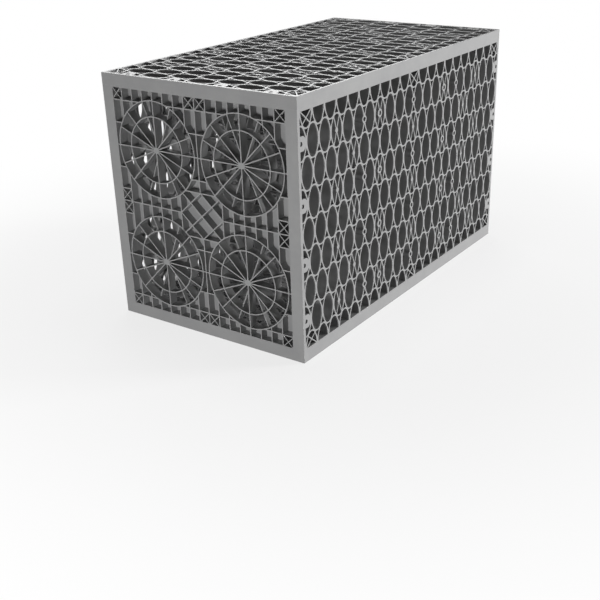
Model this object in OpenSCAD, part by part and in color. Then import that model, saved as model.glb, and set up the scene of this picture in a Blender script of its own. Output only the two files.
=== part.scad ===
// Soakaway crate: a box of four large lattice panels around five small plates.
// X is the width, Y the length with the pipe end at -Y, and Z is up from the base.

/* [Crate] */
// Width of the crate, and of each large panel
crate_w = 400; // [300:5:600]
// Length of the crate, and of each large panel
crate_l = 715; // [500:5:1000]
// Thickness of the large panels
panel_t = 20; // [14:1:30]
// Thickness of the small plates
plate_t = 17; // [12:1:24]

/* [Large panels] */
// Wall of each oval tube
tube_wall = 2.3; // [1.6:0.1:3.2]
// Plain border along the long edges
long_border = 4; // [3:0.5:8]
// Plain border across the two ends
end_border = 6; // [4:0.5:10]
// Width of the ribs that cross in a braced oval
brace_w = 2; // [1.2:0.1:3]
// Lean of those ribs from the oval's long axis, in degrees
brace_lean = 19; // [14:1:24]
// Lean of the ribs in a braced half oval, in degrees
edge_brace_lean = 50; // [40:1:60]
// Boss where the ribs cross in a braced oval
brace_boss_d = 8; // [4:0.5:12]
// Larger boss that carries a dimple
dimple_boss_d = 14; // [11:0.5:18]
// Diameter of the dimples
dimple_d = 7.5; // [5:0.5:9]
// Depth of the dimples in the outer face
dimple_depth = 2; // [1:0.5:6]

/* [Pins and sockets] */
// Diameter of the small plates' pins
pin_d = 6.9; // [4:0.1:9]
// From the end of an inner plate's pin to the large panel's outer face
pin_recess = 5; // [2:0.5:10]
// From the end of an end plate's pin to the large panel's outer face
end_pin_recess = 2; // [1:0.5:10]
// Room between a pin and its socket, on the radius
pin_clearance = 0.15; // [0.05:0.05:0.4]
// Wall around an inner plate's socket
socket_wall = 3; // [1.5:0.1:4]
// Height of the bosses around an end plate's sockets
end_boss_h = 23.5; // [18:0.5:26]

/* [Small plates] */
// Plain border of every small plate
plate_border = 2.2; // [1.6:0.1:4]
// Wall of the plain plates' oval tubes
plate_wall = 2; // [1.4:0.1:3]
// Distance between the plain plates' rows of ovals
plate_row_pitch = 86.5; // [75:0.5:95]
// Width of the bowed ribs, a pair to each row
bow_rib_w = 2; // [1.2:0.1:3]
// From a row's middle line to its bowed ribs at mid plate
bow_mid = 3.8; // [3:0.1:8]
// From a row's middle line to its bowed ribs at the plate's edges
bow_edge = 17; // [10:0.5:22]

/* [Pipe knock-outs] */
// Outer ring of a knock-out, outside diameter
large_pipe_d = 168; // [140:1:174]
// Inner ring of a knock-out, outside diameter
small_pipe_d = 115; // [80:1:125]
// Width of the rings, spokes and ribs of the pipe plate
pipe_rib_w = 2; // [1.4:0.1:3]
// Width of the crossed ribs in the pipe plate's boxes
box_brace_w = 1.5; // [1:0.1:2.5]
// Web that closes the pipe plate's back beside the knock-outs
pipe_web_t = 2; // [1:0.1:4]
// Boss where the spokes meet
hub_d = 11; // [8:0.5:20]
// How far the steepest spokes lie behind the plate's face
spoke_recess = 9; // [4:0.5:12]
// Half the height of the diamond between the knock-outs
diamond_h = 40; // [30:1:50]

/* [Hidden] */
$fn = 96;
// Segments of the long flat arcs
fine = 240;
// Overlap that joins the pieces of one moulding
lap = 0.1;

// The small plates fill the room between the large panels
plate_w = crate_w - 2 * panel_t;
plate_h = crate_w;
side_z = panel_t + crate_w / 2;

// Large panel: ovals from -10 to 10 along it, in rows from -4 to 4 across it
last_cell = 10;
last_row = 4;
cell_pitch = (crate_l - 2 * end_border) / (2 * last_cell + 1);
row_pitch = (crate_w - 2 * long_border) / (2 * last_row);
cell_w = half_width(cell_pitch, tube_wall);
cell_l = half_length(row_pitch, tube_wall);
// Braced ovals, counted in pitches from the panel's middle
braced_odd = [7.5];
dimpled_odd = [3.5];
braced_even = [0, 6];
braced_edge = [0, 10];
// Length of the crossed ribs, enough to run right across an oval
brace_l = 2 * (cell_w + cell_l);

// Radius of an oval's end arcs, as a share of an ellipse's
end_arc = 1.15;
// Wall beside the base of a gap, in tube walls
gap_wall = 1.3;
// How low a gap's tip reaches, as a share of the height of its base
panel_gap_tip = 0.42;
plate_gap_tip = 0.3;

// Sockets are on the odd rows, where the small plates stand
socket_rows = [-3, -1, 1, 3];
inner_plate_y = 5 * cell_pitch;
end_plate_y = (crate_l - plate_t) / 2;
socket_d = pin_d + 2 * pin_clearance;
socket_boss_d = socket_d + 2 * socket_wall;
end_boss_r = end_plate_y - (last_cell + 0.5) * cell_pitch + cell_w + tube_wall / 2;

// Plain plate: ovals from -4 to 4 across it
last_plate_cell = 4;
plate_pitch = (plate_w - 2 * plate_border) / (2 * last_plate_cell);
last_plate_row = round(plate_h / (2 * plate_row_pitch));
plate_cell_w = half_width(plate_pitch, plate_wall);
plate_cell_l = half_length(plate_row_pitch, plate_wall);
// Radius of the bowed ribs
bow_rise = bow_edge - bow_mid;
bow_r = (plate_w * plate_w / 4 + bow_rise * bow_rise) / (2 * bow_rise);

// Pipe plate: as many knock-outs as fit, on a grid of ribs
wheel_xs = wheel_places(plate_w);
wheel_ys = wheel_places(plate_h);
spokes = 16;
last_column = 8;
grid_x = plate_w / (2 * last_column);
level_y = plate_h / 4;
grid_y = (plate_h / 2 - grid_x - level_y) / 2;

// Half the width and length of an oval opening whose tube touches its six neighbours
function half_width(pitch, wall) = pitch / 2 - wall;
function half_length(pitch, wall) = pitch / sqrt(3) - wall;
// Radii of an oval's four arcs, and where the long arcs meet the end arcs
function end_radius(w, l) = end_arc * w * w / l;
function side_radius(w, l, r) = (w * w + l * l - 2 * l * r) / (2 * (w - r));
function join_height(w, l, r, side_r) = side_r * sin(atan2(l - r, side_r - w));
// Half the width of an oval's long arcs at a height
function arc_width(w, side_r, y) = sqrt(max(0, side_r * side_r - y * y)) - side_r + w;
// Places of the ovals in a row, in pitches: an odd row is shifted by half a pitch
function is_odd(row) = row % 2 != 0;
function places(row, last) =
    is_odd(row) ? [for (i = [-last : last - 1]) i + 0.5] : [for (i = [-last : last]) i];
function listed(place, list) = len([for (entry = list) if (abs(place) == entry) entry]) > 0;
// Height of a bowed rib over its row's middle line
function bow_height(x) = bow_mid + bow_r - sqrt(max(0, bow_r * bow_r - x * x));
// Middles of the knock-outs along a side of the pipe plate
function wheel_count(side) = max(1, floor(side / (large_pipe_d + pipe_rib_w)));
function wheel_places(side) =
    [for (i = [0 : wheel_count(side) - 1]) ((i + 0.5) / wheel_count(side) - 0.5) * side];
// The spokes next to the upright ones are the recessed ones
function is_steep(step) = abs(step % (spokes / 2) - spokes / 4) == 1;

// Oval of four arcs, with its long axis along Y
module oval(w, l) {
    end_r = end_radius(w, l);
    side_r = side_radius(w, l, end_r);
    join_y = join_height(w, l, end_r, side_r);
    intersection() {
        translate([w - side_r, 0]) circle(side_r, $fn = fine);
        translate([side_r - w, 0]) circle(side_r, $fn = fine);
        square([3 * w, 2 * join_y], center = true);
    }
    for (side = [-1, 1])
        translate([0, side * (l - end_r)]) circle(end_r + lap);
}

// Three-sided gap between two ovals of a row and the tip of one in the next row
module gap(pitch, base_y, tip_y, w, l, wall) {
    side_r = side_radius(w, l, end_radius(w, l));
    half_base = pitch / 2 - arc_width(w, side_r, base_y) - gap_wall * wall;
    polygon([[0, tip_y], [half_base, base_y], [-half_base, base_y]]);
}

// The gaps of one row of a large panel, on the sides where it has a next row
module panel_gaps(row) {
    base_y = row_pitch - cell_l - tube_wall;
    for (place = places(row + 1, last_cell + (is_odd(row) ? 0 : 1)), side = [-1, 1])
        if (abs(row + side) <= last_row)
            translate([place * cell_pitch, row * row_pitch]) scale([1, side])
                gap(cell_pitch, base_y, panel_gap_tip * base_y, cell_w, cell_l, tube_wall);
}

// The gaps of one row of a plain plate, clear of the row's bowed ribs
module plate_gaps(row) {
    base_y = plate_row_pitch - plate_cell_l - plate_wall;
    for (place = places(row + 1, last_plate_cell), side = [-1, 1])
        if (abs(row + side) <= last_plate_row) {
            tip_y = max(plate_gap_tip * base_y, bow_height(place * plate_pitch) + bow_rib_w);
            translate([place * plate_pitch, row * plate_row_pitch]) scale([1, side])
                gap(plate_pitch, base_y, tip_y, plate_cell_w, plate_cell_l, plate_wall);
        }
}

// Rectangle around a window
module frame(width, height, border_x, border_y) {
    difference() {
        square([width, height], center = true);
        square([width - 2 * border_x, height - 2 * border_y], center = true);
    }
}

// Straight rib between two points
module rib(from, to, width) {
    run = to - from;
    translate(from) rotate(atan2(run.y, run.x)) translate([0, -width / 2]) square([norm(run), width]);
}

// Two ribs that cross at the origin
module crossed_ribs(lean, length, width) {
    for (side = [-1, 1])
        rotate(side * lean) square([width, length], center = true);
}

// Openings of a braced oval, around the boss where its ribs cross
module braced_oval(boss_d) {
    difference() {
        oval(cell_w, cell_l);
        crossed_ribs(brace_lean, brace_l, brace_w);
        circle(d = boss_d);
    }
}

// Openings of a braced half oval, whose ribs start in the corners at the long border
module braced_half_oval(side) {
    difference() {
        oval(cell_w, cell_l);
        translate([0, -side * cell_w / tan(edge_brace_lean)])
            crossed_ribs(edge_brace_lean, brace_l, brace_w);
    }
}

// Openings of one row of a large panel
module panel_row(row) {
    at_edge = abs(row) == last_row;
    braced = is_odd(row) ? braced_odd : at_edge ? braced_edge : braced_even;
    for (place = places(row, last_cell + (is_odd(row) ? 1 : 0)))
        translate([place * cell_pitch, row * row_pitch])
            if (is_odd(row) && listed(place, dimpled_odd))
                braced_oval(dimple_boss_d);
            else if (at_edge && listed(place, braced))
                braced_half_oval(sign(row));
            else if (listed(place, braced))
                braced_oval(brace_boss_d);
            else
                oval(cell_w, cell_l);
}

// Outline of a large panel, its length along X
module panel_outline() {
    difference() {
        square([crate_l - end_border, crate_w - long_border], center = true);
        for (row = [-last_row : last_row]) {
            panel_row(row);
            panel_gaps(row);
        }
    }
    frame(crate_l, crate_w, end_border, long_border);
    for (row = socket_rows) {
        for (x = [-inner_plate_y, 0, inner_plate_y])
            translate([x, row * row_pitch]) circle(d = socket_boss_d);
        for (side = [-1, 1])
            intersection() {
                translate([side * end_plate_y, row * row_pitch]) circle(end_boss_r);
                translate([0, row * row_pitch]) square([crate_l - end_border, end_boss_h], center = true);
            }
    }
}

// Large panel lying flat, its length along X and its outer face up
module large_panel() {
    difference() {
        linear_extrude(panel_t) difference() {
            panel_outline();
            for (row = socket_rows, x = [-end_plate_y, -inner_plate_y, 0, inner_plate_y, end_plate_y])
                translate([x, row * row_pitch]) circle(d = socket_d);
        }
        for (row = socket_rows, place = dimpled_odd, side = [-1, 1])
            translate([side * place * cell_pitch, row * row_pitch, panel_t - dimple_depth])
                cylinder(d = dimple_d, h = dimple_depth + lap);
    }
}

// Pins on the four edges of a small plate that lies flat
module plate_pins(recess) {
    root = plate_border / 2;
    for (row = socket_rows, turn = [0, 90, 180, 270]) {
        reach = (turn % 180 == 0 ? plate_w : plate_h) / 2;
        rotate(turn) translate([reach - root, row * row_pitch, plate_t / 2])
            rotate([0, 90, 0]) cylinder(d = pin_d, h = root + panel_t - recess);
    }
}

// One bowed rib, nearest to its row's middle line at mid plate
module bow_rib() {
    intersection() {
        translate([0, bow_mid + bow_r]) difference() {
            circle(bow_r + bow_rib_w / 2, $fn = fine);
            circle(bow_r - bow_rib_w / 2, $fn = fine);
        }
        translate([-plate_w / 2, 0]) square([plate_w, 2 * bow_edge]);
    }
}

// Field of a small plate, half way into its border
module plate_field() {
    square([plate_w - plate_border, plate_h - plate_border], center = true);
}

// Plain small plate lying flat
module plain_plate(recess) {
    linear_extrude(plate_t) {
        difference() {
            plate_field();
            for (row = [-last_plate_row : last_plate_row]) {
                for (place = places(row, last_plate_cell))
                    translate([place * plate_pitch, row * plate_row_pitch]) oval(plate_cell_w, plate_cell_l);
                plate_gaps(row);
            }
        }
        frame(plate_w, plate_h, plate_border, plate_border);
        intersection() {
            plate_field();
            for (row = [-last_plate_row : last_plate_row], side = [-1, 1])
                translate([0, row * plate_row_pitch]) scale([1, side]) bow_rib();
        }
    }
    plate_pins(recess);
}

// Places of the knock-outs
module at_wheels() {
    for (x = wheel_xs, y = wheel_ys)
        translate([x, y]) children();
}

// One of a knock-out's spokes
module spoke(step) {
    angle = step * 360 / spokes;
    reach = (large_pipe_d - pipe_rib_w) / 2;
    rib([0, 0], reach * [cos(angle), sin(angle)], pipe_rib_w);
}

// Rings, hub and level spokes of one knock-out
module wheel() {
    for (d = [small_pipe_d, large_pipe_d])
        difference() {
            circle(d = d, $fn = fine);
            circle(d = d - 2 * pipe_rib_w, $fn = fine);
        }
    circle(d = hub_d);
    for (step = [0 : spokes - 1])
        if (!is_steep(step)) spoke(step);
}

// Rib straight across the pipe plate, or straight up it
module cross_rib(y, from, to) {
    rib([from, y], [to, y], pipe_rib_w);
}

module upright_rib(x, from, to) {
    rib([x, from], [x, to], pipe_rib_w);
}

// Ribs of the pipe plate, still running on through its knock-outs
module pipe_grid() {
    edge_x = plate_w / 2;
    edge_y = plate_h / 2;
    mid_x = 2 * grid_x;
    box_x = edge_x - grid_x;
    for (side = [-1, 1]) {
        for (step = [2 : last_column - 1])
            upright_rib(side * step * grid_x, -edge_y, edge_y);
        for (end = [-1, 1])
            upright_rib(side * grid_x, end * level_y, end * edge_y);
        upright_rib(0, side * diamond_h, side * edge_y);
        for (step = [-1 : 2])
            cross_rib(side * (level_y + step * grid_y), -edge_x, edge_x);
        for (end = [-1, 1])
            cross_rib(end * grid_x, side * box_x, side * edge_x);
        cross_rib(side * diamond_h, -mid_x, mid_x);
        cross_rib(0, side * mid_x, side * edge_x);
        rib([-mid_x, side * diamond_h], [mid_x, -side * diamond_h], pipe_rib_w);
        for (end = [-1, 1])
            rib([0, side * diamond_h], [end * mid_x, 0], pipe_rib_w);
    }
}

// Places of the braced boxes, at the corners and the middle of each edge
module at_boxes() {
    half = grid_x / 2;
    in_x = plate_w / 2 - half;
    in_y = plate_h / 2 - half;
    for (x = [-1, 1], y = [-1, 1], box = [[in_x, in_y], [half, in_y], [in_x, half]])
        translate([x * box.x, y * box.y]) children();
}

// Pipe plate lying flat, with its face up
module pipe_plate() {
    linear_extrude(plate_t) {
        frame(plate_w, plate_h, plate_border, plate_border);
        difference() {
            intersection() {
                union() {
                    pipe_grid();
                    at_boxes() crossed_ribs(45, grid_x * sqrt(2), box_brace_w);
                }
                plate_field();
            }
            at_wheels() circle(d = large_pipe_d - pipe_rib_w, $fn = fine);
        }
        at_wheels() wheel();
    }
    linear_extrude(pipe_web_t) difference() {
        plate_field();
        at_wheels() circle(d = large_pipe_d - pipe_rib_w, $fn = fine);
        at_boxes() square(grid_x, center = true);
    }
    linear_extrude(plate_t - spoke_recess)
        at_wheels() for (step = [0 : spokes - 1])
            if (is_steep(step)) spoke(step);
    plate_pins(end_pin_recess);
}

// Stands a small plate up across the crate, with its face to -Y
module stand_across(y) {
    translate([0, y + plate_t / 2, side_z]) rotate([90, 0, 0]) children();
}

module top_panel() {
    color("gray") translate([0, 0, panel_t + crate_w]) rotate(90) large_panel();
}

module bottom_panel() {
    color("gray") translate([0, 0, panel_t]) rotate([180, 0, 90]) large_panel();
}

module left_side_panel() {
    color("gray") translate([-plate_w / 2, 0, side_z]) rotate([90, 0, -90]) large_panel();
}

module right_side_panel() {
    color("gray") translate([plate_w / 2, 0, side_z]) rotate([90, 0, 90]) large_panel();
}

module front_end_plate() {
    color("dimgray") stand_across(-end_plate_y) pipe_plate();
}

module rear_end_plate() {
    color("dimgray") stand_across(end_plate_y) plain_plate(end_pin_recess);
}

module inner_plate_front() {
    color("dimgray") stand_across(-inner_plate_y) plain_plate(pin_recess);
}

module inner_plate_middle() {
    color("dimgray") stand_across(0) plain_plate(pin_recess);
}

module inner_plate_rear() {
    color("dimgray") stand_across(inner_plate_y) plain_plate(pin_recess);
}

top_panel();
bottom_panel();
left_side_panel();
right_side_panel();
front_end_plate();
rear_end_plate();
inner_plate_front();
inner_plate_middle();
inner_plate_rear();
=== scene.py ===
"""Looks of the soakaway crate: moulded grey plastic, a pale floor, soft studio light and the camera."""
import math

import bpy
from mathutils import Matrix, Vector


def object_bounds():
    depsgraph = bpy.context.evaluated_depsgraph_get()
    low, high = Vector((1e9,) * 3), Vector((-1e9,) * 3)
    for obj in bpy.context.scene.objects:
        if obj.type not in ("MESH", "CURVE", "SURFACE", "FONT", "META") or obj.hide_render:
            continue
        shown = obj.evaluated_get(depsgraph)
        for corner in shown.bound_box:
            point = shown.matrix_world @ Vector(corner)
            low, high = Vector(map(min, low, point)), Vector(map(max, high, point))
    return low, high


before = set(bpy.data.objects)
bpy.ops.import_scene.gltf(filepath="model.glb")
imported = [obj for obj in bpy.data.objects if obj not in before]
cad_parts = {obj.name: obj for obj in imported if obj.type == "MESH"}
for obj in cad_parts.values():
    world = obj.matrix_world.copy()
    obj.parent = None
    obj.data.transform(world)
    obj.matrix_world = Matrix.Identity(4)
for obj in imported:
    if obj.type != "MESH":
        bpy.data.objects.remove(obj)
cad_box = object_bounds()

# Places on the crate that the lamps face, from the frame
LOW, HIGH = (Vector(corner) for corner in cad_box)
MIDDLE = (LOW + HIGH) / 2
TOP = Vector((MIDDLE.x, MIDDLE.y, HIGH.z))
FRONT = Vector((MIDDLE.x, LOW.y, MIDDLE.z))
LEFT = Vector((LOW.x, MIDDLE.y, MIDDLE.z))

# Camera, in pixels of the square image, metres and degrees
IMAGE_SIDE = 600
FOCAL_PIXELS = 944.87
CENTRE_PIXEL_X = 320
CAMERA_AT = Vector((1.00019, -1.4773, 0.73664))
CAMERA_TURN = 34.390
CAMERA_DROP = 24.334
CAMERA_ROLL = 1.290
CAMERA_REACH = 100.0
SENSOR_MM = 36.0

# Plastic: a linear grey, with lengths in metres and noise scales per metre
PLASTIC_GREY = 0.28
PLASTIC_IOR = 1.49
PLASTIC_SHINE = 0.70
PLASTIC_ROUGHNESS = 0.24
GLOSS_SPREAD = 0.03
GLOSS_SCALE = 70.0
GRAIN_SCALE = 1400.0
GRAIN_STRENGTH = 0.12
GRAIN_DEPTH = 0.0001

# Mottling of the plastic, with tints as shares of its grey
MOTTLE_SCALE = 22.0
MOTTLE_FROM = 0.3
MOTTLE_TO = 0.7
DARKER_TINT = (0.93, 0.93, 0.94)
PALER_TINT = (1.05, 1.05, 1.045)

# Rubbed edges: the turn is the cosine between the rounded and the flat normal
EDGE_RADIUS = 0.0006
EDGE_SAMPLES = 6
EDGE_TURN_FROM = 0.995
EDGE_TURN_TO = 0.85
RUB_SCALE = 160.0
RUBBED_TINT = (1.5, 1.5, 1.5)

# Floor: its grey to the eye and to bounced light, and how far it glows white
FLOOR_SIDE = 30.0
FLOOR_SEEN = 0.80
FLOOR_BOUNCE = 0.20
FLOOR_GLOW = 0.78
GLOW_GROWS_FROM = 0.45
GLOW_FULL_AT = 1.2
WORLD_LIGHT = 0.01

# Card behind the crate, which darkens what the far half of the top mirrors
CARD_AT = Vector((-1.40, 2.10, 0.0))
CARD_WIDE = 4.0
CARD_HIGH = 1.05
CARD_GREY = 0.02

# Step between the nodes of a tree, as its editor shows them
NODE_STEP = 220


def grey_colour(level, tint=(1, 1, 1)):
    """An opaque colour from a grey level and the shares of it in red, green and blue."""
    return [level * share for share in tint] + [1]


def add_node(tree, kind, settings=None, **inputs):
    """Adds a node with the given settings, and input values named by their sockets."""
    node = tree.nodes.new(kind)
    node.location = (NODE_STEP * len(tree.nodes), 0)
    for name, value in (settings or {}).items():
        setattr(node, name, value)
    for name, value in inputs.items():
        node.inputs[name.replace("_", " ")].default_value = value
    return node


def new_material(name):
    """An empty node material and its tree."""
    material = bpy.data.materials.new(name)
    material.use_nodes = True
    material.node_tree.nodes.clear()
    return material, material.node_tree


def mottled_grey(tree, where):
    """Colour of the recycled plastic, mottled some centimetres across."""
    noise = add_node(tree, "ShaderNodeTexNoise", Scale=MOTTLE_SCALE, Detail=4.0, Roughness=0.6)
    tree.links.new(where, noise.inputs["Vector"])
    ramp = add_node(tree, "ShaderNodeValToRGB")
    darker, paler = ramp.color_ramp.elements
    darker.position, paler.position = MOTTLE_FROM, MOTTLE_TO
    darker.color = grey_colour(PLASTIC_GREY, DARKER_TINT)
    paler.color = grey_colour(PLASTIC_GREY, PALER_TINT)
    tree.links.new(noise.outputs["Fac"], ramp.inputs["Fac"])
    return ramp.outputs["Color"]


def rubbed_edges(tree, where, colour, rounded):
    """The colour, paler in patches where the rounded normal turns away from the flat one."""
    link = tree.links.new
    flat = add_node(tree, "ShaderNodeNewGeometry")
    turn = add_node(tree, "ShaderNodeVectorMath", {"operation": "DOT_PRODUCT"})
    link(rounded, turn.inputs[0])
    link(flat.outputs["Normal"], turn.inputs[1])
    edge = add_node(tree, "ShaderNodeMapRange", From_Min=EDGE_TURN_FROM, From_Max=EDGE_TURN_TO)
    link(turn.outputs["Value"], edge.inputs["Value"])
    patches = add_node(tree, "ShaderNodeTexNoise", Scale=RUB_SCALE, Detail=2.0)
    link(where, patches.inputs["Vector"])
    worn = add_node(tree, "ShaderNodeMath", {"operation": "MULTIPLY"})
    link(edge.outputs["Result"], worn.inputs[0])
    link(patches.outputs["Fac"], worn.inputs[1])
    rubbed = grey_colour(PLASTIC_GREY, RUBBED_TINT)
    mix = add_node(tree, "ShaderNodeMix", {"data_type": "RGBA"}, B=rubbed)
    link(worn.outputs["Value"], mix.inputs["Factor"])
    link(colour, mix.inputs["A"])
    return mix.outputs["Result"]


def uneven_gloss(tree, where):
    """Roughness that varies a little over the plastic."""
    noise = add_node(tree, "ShaderNodeTexNoise", Scale=GLOSS_SCALE, Detail=3.0)
    tree.links.new(where, noise.inputs["Vector"])
    least, most = PLASTIC_ROUGHNESS - GLOSS_SPREAD, PLASTIC_ROUGHNESS + GLOSS_SPREAD
    rough = add_node(tree, "ShaderNodeMapRange", To_Min=least, To_Max=most)
    tree.links.new(noise.outputs["Fac"], rough.inputs["Value"])
    return rough.outputs["Result"]


def fine_grain(tree, where, rounded):
    """The rounded normal with the fine grain of the mould on it."""
    noise = add_node(tree, "ShaderNodeTexNoise", Scale=GRAIN_SCALE, Detail=2.0)
    tree.links.new(where, noise.inputs["Vector"])
    bump = add_node(tree, "ShaderNodeBump", Strength=GRAIN_STRENGTH, Distance=GRAIN_DEPTH)
    tree.links.new(noise.outputs["Fac"], bump.inputs["Height"])
    tree.links.new(rounded, bump.inputs["Normal"])
    return bump.outputs["Normal"]


def moulded_plastic():
    """Satin polypropylene: faint mottling, fine grain, uneven gloss and edges rubbed paler."""
    material, tree = new_material("grey_plastic")
    link = tree.links.new
    where = add_node(tree, "ShaderNodeTexCoord").outputs["Object"]
    bevel = add_node(tree, "ShaderNodeBevel", {"samples": EDGE_SAMPLES}, Radius=EDGE_RADIUS)
    rounded = bevel.outputs["Normal"]
    colour = rubbed_edges(tree, where, mottled_grey(tree, where), rounded)
    shader = add_node(
        tree, "ShaderNodeBsdfPrincipled", IOR=PLASTIC_IOR, Specular_IOR_Level=PLASTIC_SHINE)
    link(colour, shader.inputs["Base Color"])
    link(uneven_gloss(tree, where), shader.inputs["Roughness"])
    link(fine_grain(tree, where, rounded), shader.inputs["Normal"])
    output = add_node(tree, "ShaderNodeOutputMaterial")
    link(shader.outputs["BSDF"], output.inputs["Surface"])
    return material


def seen_directly(tree):
    """One for camera, mirror and glass rays, nothing for the rays that carry bounced light."""
    ray = add_node(tree, "ShaderNodeLightPath")
    total = ray.outputs["Is Camera Ray"]
    for kind in ("Is Glossy Ray", "Is Transmission Ray"):
        either = add_node(tree, "ShaderNodeMath", {"operation": "MAXIMUM"})
        tree.links.new(total, either.inputs[0])
        tree.links.new(ray.outputs[kind], either.inputs[1])
        total = either.outputs["Value"]
    return total


def floor_glow(tree, direct):
    """Share of white in the floor: grows away from the crate, for rays that see it directly."""
    where = add_node(tree, "ShaderNodeTexCoord")
    reach = add_node(tree, "ShaderNodeVectorMath", {"operation": "LENGTH"})
    tree.links.new(where.outputs["Object"], reach.inputs[0])
    fade = add_node(
        tree, "ShaderNodeMapRange", {"interpolation_type": "SMOOTHSTEP"},
        From_Min=GLOW_GROWS_FROM, From_Max=GLOW_FULL_AT, To_Min=FLOOR_GLOW)
    tree.links.new(reach.outputs["Value"], fade.inputs["Value"])
    glow = add_node(tree, "ShaderNodeMath", {"operation": "MULTIPLY"})
    tree.links.new(direct, glow.inputs[0])
    tree.links.new(fade.outputs["Result"], glow.inputs[1])
    return glow.outputs["Value"]


def floor_material():
    """Pale floor that keeps the shadow, fades to white around it and bounces little light."""
    material, tree = new_material("pale_floor")
    link = tree.links.new
    direct = seen_directly(tree)
    grey = add_node(tree, "ShaderNodeMapRange", To_Min=FLOOR_BOUNCE, To_Max=FLOOR_SEEN)
    link(direct, grey.inputs["Value"])
    paint = add_node(tree, "ShaderNodeBsdfDiffuse")
    link(grey.outputs["Result"], paint.inputs["Color"])
    white = add_node(tree, "ShaderNodeEmission", Strength=1.0)
    mix = add_node(tree, "ShaderNodeMixShader")
    link(floor_glow(tree, direct), mix.inputs["Fac"])
    link(paint.outputs["BSDF"], mix.inputs[1])
    link(white.outputs["Emission"], mix.inputs[2])
    output = add_node(tree, "ShaderNodeOutputMaterial")
    link(mix.outputs["Shader"], output.inputs["Surface"])
    return material


def card_material():
    """Matt black."""
    material, tree = new_material("black_card")
    paint = add_node(tree, "ShaderNodeBsdfDiffuse", Color=grey_colour(CARD_GREY))
    output = add_node(tree, "ShaderNodeOutputMaterial")
    tree.links.new(paint.outputs["BSDF"], output.inputs["Surface"])
    return material


def add_stage(name, corners, material):
    """One flat four-cornered piece of the studio."""
    mesh = bpy.data.meshes.new(name)
    mesh.from_pydata(corners, [], [(0, 1, 2, 3)])
    mesh.materials.append(material)
    piece = bpy.data.objects.new(name, mesh)
    bpy.context.scene.collection.objects.link(piece)
    return piece


def make_floor():
    """A plain square under the crate."""
    half = FLOOR_SIDE / 2
    corners = [(-half, -half, 0), (half, -half, 0), (half, half, 0), (-half, half, 0)]
    add_stage("floor", corners, floor_material())


def make_card():
    """A card that stands behind the crate, square to the camera's view and unseen by it."""
    turn = math.radians(CAMERA_TURN)
    along = Vector((math.cos(turn), math.sin(turn), 0)) * CARD_WIDE / 2
    up = Vector((0, 0, CARD_HIGH))
    corners = [CARD_AT - along, CARD_AT + along, CARD_AT + along + up, CARD_AT - along + up]
    add_stage("black_card", corners, card_material()).visible_camera = False


def make_world():
    """Faint even light all round, seen as white."""
    world = bpy.data.worlds.new("studio")
    bpy.context.scene.world = world
    world.use_nodes = True
    tree = world.node_tree
    tree.nodes.clear()
    link = tree.links.new
    light = add_node(tree, "ShaderNodeBackground", Color=grey_colour(1), Strength=WORLD_LIGHT)
    white = add_node(tree, "ShaderNodeBackground", Color=grey_colour(1), Strength=1.0)
    mix = add_node(tree, "ShaderNodeMixShader")
    link(seen_directly(tree), mix.inputs["Fac"])
    link(light.outputs["Background"], mix.inputs[1])
    link(white.outputs["Background"], mix.inputs[2])
    output = add_node(tree, "ShaderNodeOutputWorld")
    link(mix.outputs["Shader"], output.inputs["Surface"])


def add_lamp(name, at, towards, size, power, mirrored):
    """A square soft lamp that faces a point, and is mirrored by the plastic or not."""
    data = bpy.data.lights.new(name, "AREA")
    data.size = size
    data.energy = power
    lamp = bpy.data.objects.new(name, data)
    lamp.location = at
    lamp.rotation_euler = (towards - Vector(at)).to_track_quat("-Z", "Y").to_euler()
    lamp.visible_camera = False
    lamp.visible_glossy = mirrored
    bpy.context.scene.collection.objects.link(lamp)


def make_lamps():
    """The key from the right, the lamp behind that the top mirrors, and three weaker ones."""
    add_lamp("key_right", at=(9.00, 7.90, 1.68), towards=MIDDLE, size=3.2, power=2500, mirrored=False)
    add_lamp("behind", at=(-2.90, 3.40, 2.85), towards=TOP, size=3.2, power=112, mirrored=True)
    add_lamp("over", at=(0.00, 0.00, 2.20), towards=TOP, size=0.8, power=14, mirrored=True)
    add_lamp("front", at=(0.20, -1.50, 0.08), towards=FRONT, size=0.25, power=12, mirrored=False)
    add_lamp("left_fill", at=(-1.70, 0.10, 0.60), towards=LEFT, size=0.8, power=6, mirrored=False)


def make_camera():
    """The photo's view: turned to the left of +Y, dropped below the horizon and rolled a little."""
    data = bpy.data.cameras.new("camera")
    data.sensor_width = SENSOR_MM
    data.lens = SENSOR_MM * FOCAL_PIXELS / IMAGE_SIDE
    data.shift_x = (IMAGE_SIDE / 2 - CENTRE_PIXEL_X) / IMAGE_SIDE
    data.clip_end = CAMERA_REACH
    camera = bpy.data.objects.new("camera", data)
    turn = Matrix.Rotation(math.radians(CAMERA_TURN), 4, "Z")
    tilt = Matrix.Rotation(math.radians(90 - CAMERA_DROP), 4, "X")
    roll = Matrix.Rotation(math.radians(-CAMERA_ROLL), 4, "Z")
    camera.matrix_world = Matrix.Translation(CAMERA_AT) @ turn @ tilt @ roll
    bpy.context.scene.collection.objects.link(camera)
    bpy.context.scene.camera = camera


plastic = moulded_plastic()
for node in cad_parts.values():
    node.data.materials.clear()
    node.data.materials.append(plastic)

make_camera()
make_floor()
make_card()
make_world()
make_lamps()
bpy.context.scene.view_settings.view_transform = "Standard"
